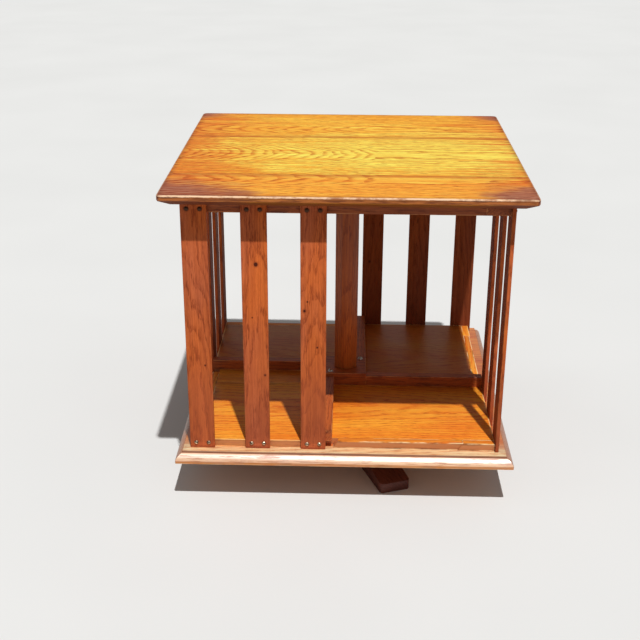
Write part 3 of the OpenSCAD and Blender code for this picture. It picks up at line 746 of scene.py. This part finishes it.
floorLook = {
    # painted shade over the back of the floor
    "backShade": {"tone": tone(150, 70, 28), "fray": 40, "edge": (-40, 20), "share": 0.6},
    "face": {"tone": tone(194, 126, 84), "edge": (0.4, 1.1), "share": 0.8},
    "lip": {"tone": tone(255, 214, 150), "width": (1.5, 0.3), "edge": (1, 0), "streaked": 0.5, "share": 0.4},
    "wear": {"worn": tone(250, 186, 112), "width": 1.4, "amount": 0.8,
             "grime": tone(92, 42, 18), "grimeWidth": 9.0, "grimeAmount": 0.45},
    "stripWear": {"worn": tone(255, 220, 168), "width": 1.3, "amount": 0.9,
                  "grime": tone(84, 40, 24), "grimeWidth": 3.0, "grimeAmount": 0.7},
    "boardPith": (14, -52), "boardPithStep": -30, "boardTaper": 0.05,
    "piths": {"edge_strip_": (22, -30), "corner_strip_": (-12, -24), "top_rail_": (22, -30),
              "book_stop_": (24, -20), "post_block": (30, -20), "centre_post": (3, 40)},
    "seeds": {"floor_board_": 51.0, "strips": 71.0, "top_rail_": 61.0, "book_stop_": 81.0,
              "post_block": 91.0, "centre_post": 95.0},
    "boardSeedStep": 5, "sideSeedStep": 3,
}


# the upright faces are browner than the top
def sawnFace(oak, low, high):
    face = floorLook["face"]
    oak.paint(face["tone"], (high[2] * metre - oak.where[axisZ]).step(*face["edge"]) * face["share"])


# painted shade darkens the floor towards the back, and a pale line runs along its upper front arris
def floorBackShadeAndLip(oak, low, high):
    backShade, lip = floorLook["backShade"], floorLook["lip"]
    # painted shade: darker towards the back of the floor
    back = (oak.where[axisY] + (oak.patch - 0.5) * backShade["fray"]).step(*backShade["edge"])
    oak.paint(backShade["tone"], back * backShade["share"])
    out = abs(oak.where[axisX]).most(abs(oak.where[axisY]))
    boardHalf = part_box("floor_board_back")[1][0] * metre
    sawnFace(oak, low, high)
    onLip = (boardHalf - out).step(*lip["width"]) * (high[2] * metre - oak.where[axisZ]).step(*lip["edge"])
    oak.paint(lip["tone"], onLip * (oak.streak * lip["streaked"] + lip["share"]))


def dressFloor():
    look, piths, seeds = floorLook, floorLook["piths"], floorLook["seeds"]
    for k, part in enumerate(["front", "back"]):
        pith = (look["boardPith"][0] + look["boardPithStep"] * k, look["boardPith"][1])
        seed = seeds["floor_board_"] + look["boardSeedStep"] * k
        woodenPiece("floor_board_" + part, "floor", axisX, pith, seed, look["wear"], look["boardTaper"],
                    extra=floorBackShadeAndLip)
    for s, side in enumerate(sides):
        grain = axisX if side in ("front", "back") else axisY
        further = look["sideSeedStep"] * s
        for strip in ("edge_strip_", "corner_strip_"):
            woodenPiece(strip + side, "edging", grain, piths[strip], seeds["strips"] + further,
                        look["stripWear"], extra=sawnFace)
        woodenPiece("top_rail_" + side, "rail", grain, piths["top_rail_"], seeds["top_rail_"] + further)
        woodenPiece("book_stop_" + side, "stop", grain, piths["book_stop_"], seeds["book_stop_"] + further)
    woodenPiece("post_block", "stop", axisX, piths["post_block"], seeds["post_block"])
    woodenPiece("centre_post", "post", axisZ, piths["centre_post"], seeds["centre_post"])
    print("bookcase: floor, rails and stops dressed")


# the foot stands turned against the case; its arrises are dirty but not rubbed
footLook = {"turn": math.radians(20.4), "pith": (18, -30), "seed": 97.0,
            "wear": {**plainWear, "amount": 0.0}}


def dressFoot():
    look = footLook
    turns = {"lower_foot_bar": look["turn"], "upper_foot_bar": look["turn"] + math.pi / 2, "hub_block": 0}
    for node, turn in turns.items():
        woodenPiece(node, "foot", axisX, look["pith"], look["seed"] + turn, look["wear"], turn=turn)
    print("bookcase: foot dressed")


metalLooks = {
    # nails: heads high up under the top get painted shade
    "nail": {"bright": tone(214, 196, 168), "dull": tone(96, 68, 52), "shine": 0.36,
             "shadeAbove": (200, 220)},
    "iron": {"bright": tone(74, 70, 66), "dull": tone(38, 34, 31), "shine": 0.55},
    # the post block's screws: a brighter copy of the screw look, a painted highlight
    "block": {"bright": tone(236, 232, 224), "dull": tone(170, 160, 146), "shine": 0.24},
    "screw": {"bright": tone(150, 146, 138), "dull": tone(84, 76, 68), "shine": 0.4},
    "brass": {"bright": tone(212, 168, 92), "dull": tone(134, 98, 50), "shine": 0.34},
}
metalMap = {
    "stain": ((3.0, 3.0, 3.0), 4.0, 0.65), "stainEdge": (0.38, 0.66), "stainDulls": 0.25,
    "scratch": ((0.4, 0.4, 0.4), 2.0), "scratchDulls": 0.1, "scratchDepth": 0.00004, "scratchBump": 0.4,
    "metallic": 0.9,
}
# each look's nodes, and the seed of the first of them
metalNodes = {
    "nail": (3.0, ["slat_nails_" + side for side in sides]),
    # painted highlight: the post block's screws use the brighter copy
    "block": (9.0, ["post_block_screws"]),
    "screw": (11.0, ["top_screws", "base_screws", "upper_plate_screws", "hub_screws", "lower_plate_screws",
                     "retaining_washer", "retaining_nut", "pivot_bolt"]),
    "iron": (31.0, ["upper_pivot_plate", "lower_pivot_plate"]),
    "brass": (41.0, ["pivot_bush", "thrust_washer"]),
}


def metalPiece(node, look, seed):
    recipe = Recipe(node)
    stain = recipe.cloud(recipe.where, seed, *metalMap["stain"]).step(*metalMap["stainEdge"])
    # painted shade: nail heads above this height, under the top, take the dull tone
    if "shadeAbove" in look:
        stain = stain.most(recipe.where[axisZ].step(*look["shadeAbove"]))
    scratch = recipe.cloud(recipe.where, seed + 1, *metalMap["scratch"])
    colour = recipe.blend(look["bright"], look["dull"], stain)
    shine = (stain * metalMap["stainDulls"] + scratch * metalMap["scratchDulls"]
             + (look["shine"] - metalMap["scratchDulls"]))
    dress(node, recipe.finish(colour, shine, scratch, metalMap["scratchDepth"], metalMap["scratchBump"],
                              Metallic=metalMap["metallic"]))


def dressMetal():
    for lookName, (seed, nodes) in metalNodes.items():
        for k, node in enumerate(nodes):
            metalPiece(node, metalLooks[lookName], seed + k)
    print("bookcase: metal dressed")


studio = {
    "floorSize": 16.0, "floorTone": tone(232, 232, 230), "floorMottle": tone(222, 222, 220),
    "mottle": ((300, 300, 300), 2.0), "mottleSeed": 1.7, "mottleDulls": 0.1, "floorRoughness": 0.75,
    "bounceTone": tone(176, 176, 174),
    "keyDirection": (-0.12, 0.42, -1.0), "keyStrength": 3.0, "keyAngle": 1.0,
    "skyTone": (1.0, 1.0, 1.0, 1.0), "skyStrength": 0.23, "seenSky": 0.92,
}


# pale to the camera, greyer for the light that it throws back on the case, and clear from below
def makeFloor():
    bpy.ops.object.select_all(action="DESELECT")
    bpy.ops.mesh.primitive_plane_add(size=studio["floorSize"], location=(0, 0, 0))
    floor = bpy.context.object
    floor.name = "paleFloor"
    recipe = Recipe("paleFloor")
    mottle = recipe.cloud(recipe.where, studio["mottleSeed"], *studio["mottle"])
    seen = recipe.blend(studio["floorTone"], studio["floorMottle"], mottle)
    direct = recipe.node("ShaderNodeLightPath", {}, {}, "Is Camera Ray")
    colour = recipe.blend(studio["bounceTone"], seen, direct)
    surface = recipe.surface(colour, mottle * studio["mottleDulls"] + studio["floorRoughness"])
    clear = recipe.node("ShaderNodeBsdfTransparent", {}, {})
    below = recipe.node("ShaderNodeNewGeometry", {}, {}, "Backfacing")
    mixed = recipe.node("ShaderNodeMixShader", {}, {0: below, 1: surface, 2: clear})
    floor.data.materials.append(recipe.close(mixed))


def makeLight():
    world = bpy.data.worlds.new("paleRoom")
    bpy.context.scene.world = world
    world.use_nodes = True
    tree = world.node_tree
    background = tree.nodes["Background"]
    background.inputs["Color"].default_value = studio["skyTone"]
    path = tree.nodes.new("ShaderNodeLightPath")
    strength = tree.nodes.new("ShaderNodeMapRange")
    tree.links.new(path.outputs["Is Camera Ray"], strength.inputs["Value"])
    strength.inputs["To Min"].default_value = studio["skyStrength"]
    strength.inputs["To Max"].default_value = studio["seenSky"]
    tree.links.new(strength.outputs[0], background.inputs["Strength"])
    data = bpy.data.lights.new("softKey", "SUN")
    data.energy = studio["keyStrength"]
    data.angle = math.radians(studio["keyAngle"])
    lamp = bpy.data.objects.new("softKey", data)
    bpy.context.scene.collection.objects.link(lamp)
    lamp.rotation_euler = Vector(studio["keyDirection"]).to_track_quat("-Z", "Y").to_euler()


# where the photographer stood: millimetres and radians in the bookcase's own frame
shot = {
    "place": (1.95, -1185.8, 636.5), "yaw": 0.0274, "pitch": 0.3986, "roll": 0.0046,
    "lens": 62.04, "sensor": 36.0, "nearest": 0.05, "farthest": 60,  # the last two in metres
}


def makeCamera():
    yaw, pitch, roll = shot["yaw"], shot["pitch"], shot["roll"]
    forward = Vector((-math.sin(yaw) * math.cos(pitch), math.cos(yaw) * math.cos(pitch), -math.sin(pitch)))
    right = Vector((math.cos(yaw), math.sin(yaw), 0))
    up = right.cross(forward)
    tiltedRight = right * math.cos(roll) + up * math.sin(roll)
    tiltedUp = up * math.cos(roll) - right * math.sin(roll)
    data = bpy.data.cameras.new("shotCamera")
    data.lens = shot["lens"]
    data.sensor_width = shot["sensor"]
    data.clip_start = shot["nearest"]
    data.clip_end = shot["farthest"]
    camera = bpy.data.objects.new("shotCamera", data)
    bpy.context.scene.collection.objects.link(camera)
    turned = Matrix((tiltedRight, tiltedUp, -forward)).transposed().to_4x4()
    camera.matrix_world = Matrix.Translation(Vector(shot["place"]) / metre) @ turned
    bpy.context.scene.camera = camera


roundArrises()
slotScrews()
dressTop()
dressBase()
dressSlats()
dressFloor()
dressFoot()
dressMetal()
makeFloor()
makeLight()
makeCamera()
bpy.context.scene.view_settings.view_transform = "Standard"

print("bookcase: scene ready")
